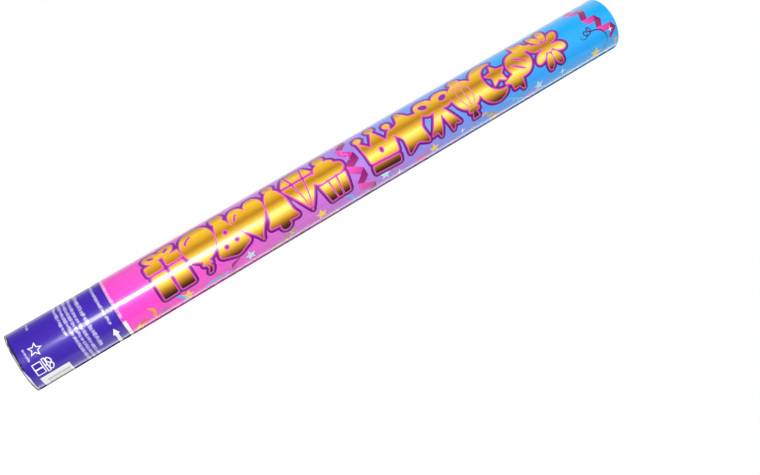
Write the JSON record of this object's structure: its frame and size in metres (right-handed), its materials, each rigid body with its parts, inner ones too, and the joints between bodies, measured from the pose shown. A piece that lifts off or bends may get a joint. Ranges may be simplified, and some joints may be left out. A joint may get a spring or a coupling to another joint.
{
  "type": "confetti popper",
  "caption": "Twist-fired compressed-air confetti popper: printed board barrel over a turning grip with an air bottle, ball lock valve, wad, paper slips and muzzle plug.",
  "frame": {"origin": "centre of the base on the surface that the popper stands on", "axes": "+Z along the barrel to the muzzle; -Y is the side of the print that the picture shows"},
  "size_m": [0.052, 0.052, 0.6],
  "materials": {
    "tube_board": "white-lined wound board, raw at its cut edges",
    "barrel_print": "glossy printed paper, pink to violet to blue",
    "grip_print": "glossy printed paper, indigo",
    "coupling_plastic": "moulded white",
    "cam_steel": "sintered",
    "diffuser_plastic": "moulded black",
    "bottle_plastic": "moulded white",
    "head_plastic": "moulded red",
    "seal_rubber": "moulded",
    "piston_brass": "turned",
    "ball_steel": "polished",
    "valve_brass": "turned",
    "valve_steel": "drawn and pressed",
    "wad_foam": "soft foam",
    "grey_card": "grey board",
    "slip_pink": "tissue paper",
    "slip_coral": "tissue paper",
    "slip_blue": "tissue paper",
    "slip_mint": "tissue paper",
    "slip_cream": "tissue paper",
    "slip_silver": "metallised film",
    "slip_gold": "metallised film",
    "plug_foil": "foil-faced card"
  },
  "bodies": {
    "barrel": {"barrel_tube": "tube_board", "barrel_label": "barrel_print", "coupling": "coupling_plastic", "cam_ring": "cam_steel", "diffuser_plate": "diffuser_plastic"},
    "grip": {"grip_tube": "tube_board", "grip_label": "grip_print", "air_bottle": "bottle_plastic", "bottle_head": "head_plastic", "head_seal": "seal_rubber", "valve_body": "valve_brass", "valve_retainer": "valve_steel"},
    "piston": {"release_piston": "piston_brass", "piston_seal": "seal_rubber"},
    "lock_ball_1": {"lock_ball_1": "ball_steel"},
    "lock_ball_2": {"lock_ball_2": "ball_steel"},
    "lock_ball_3": {"lock_ball_3": "ball_steel"},
    "valve_core": {"valve_core": "valve_steel", "valve_seal": "seal_rubber", "valve_spring": "valve_steel"},
    "charge": {"foam_wad": "wad_foam", "wad_card": "grey_card", "slips_pink": "slip_pink", "slips_coral": "slip_coral", "slips_blue": "slip_blue", "slips_mint": "slip_mint", "slips_cream": "slip_cream", "slips_silver": "slip_silver", "slips_gold": "slip_gold", "charge_cover": "grey_card"},
    "muzzle_plug": {"muzzle_plug": "plug_foil"}
  },
  "joints": [
    {"name": "grip_twist", "type": "hinge", "parent": "barrel", "child": "grip", "pos_m": [0, 0, 0.0823], "axis": [0, 0, -1], "range_deg": [0, 60]},
    {"name": "piston_lift", "type": "slide", "parent": "grip", "child": "piston", "axis": [0, 0, 1], "range_m": [0, 0.007]},
    {"name": "lock_ball_1_release", "type": "slide", "parent": "grip", "child": "lock_ball_1", "axis": [0, 1, 0], "range_m": [0, 0.0024]},
    {"name": "lock_ball_2_release", "type": "slide", "parent": "grip", "child": "lock_ball_2", "axis": [-0.866, -0.5, 0], "range_m": [0, 0.0024]},
    {"name": "lock_ball_3_release", "type": "slide", "parent": "grip", "child": "lock_ball_3", "axis": [0.866, -0.5, 0], "range_m": [0, 0.0024]},
    {"name": "valve_press", "type": "slide", "parent": "grip", "child": "valve_core", "axis": [0, 0, 1], "range_m": [0, 0.0015], "stiffness_N_per_m": 300, "springref_m": -0.001, "deforming": ["valve_spring"]},
    {"name": "charge_shot", "type": "slide", "parent": "barrel", "child": "charge", "axis": [0, 0, 1], "range_m": [0, 0.492]},
    {"name": "plug_release", "type": "slide", "parent": "charge", "child": "muzzle_plug", "axis": [0, 0, 1], "range_m": [0, 0.03]}
  ],
  "couplings": [
    {"joint": "piston_lift", "follows": "grip_twist", "m_per_rad": 0.006684},
    {"joint": "lock_ball_1_release", "follows": "grip_twist", "m_per_rad": 0.002291},
    {"joint": "lock_ball_2_release", "follows": "grip_twist", "m_per_rad": 0.002291},
    {"joint": "lock_ball_3_release", "follows": "grip_twist", "m_per_rad": 0.002291}
  ]
}
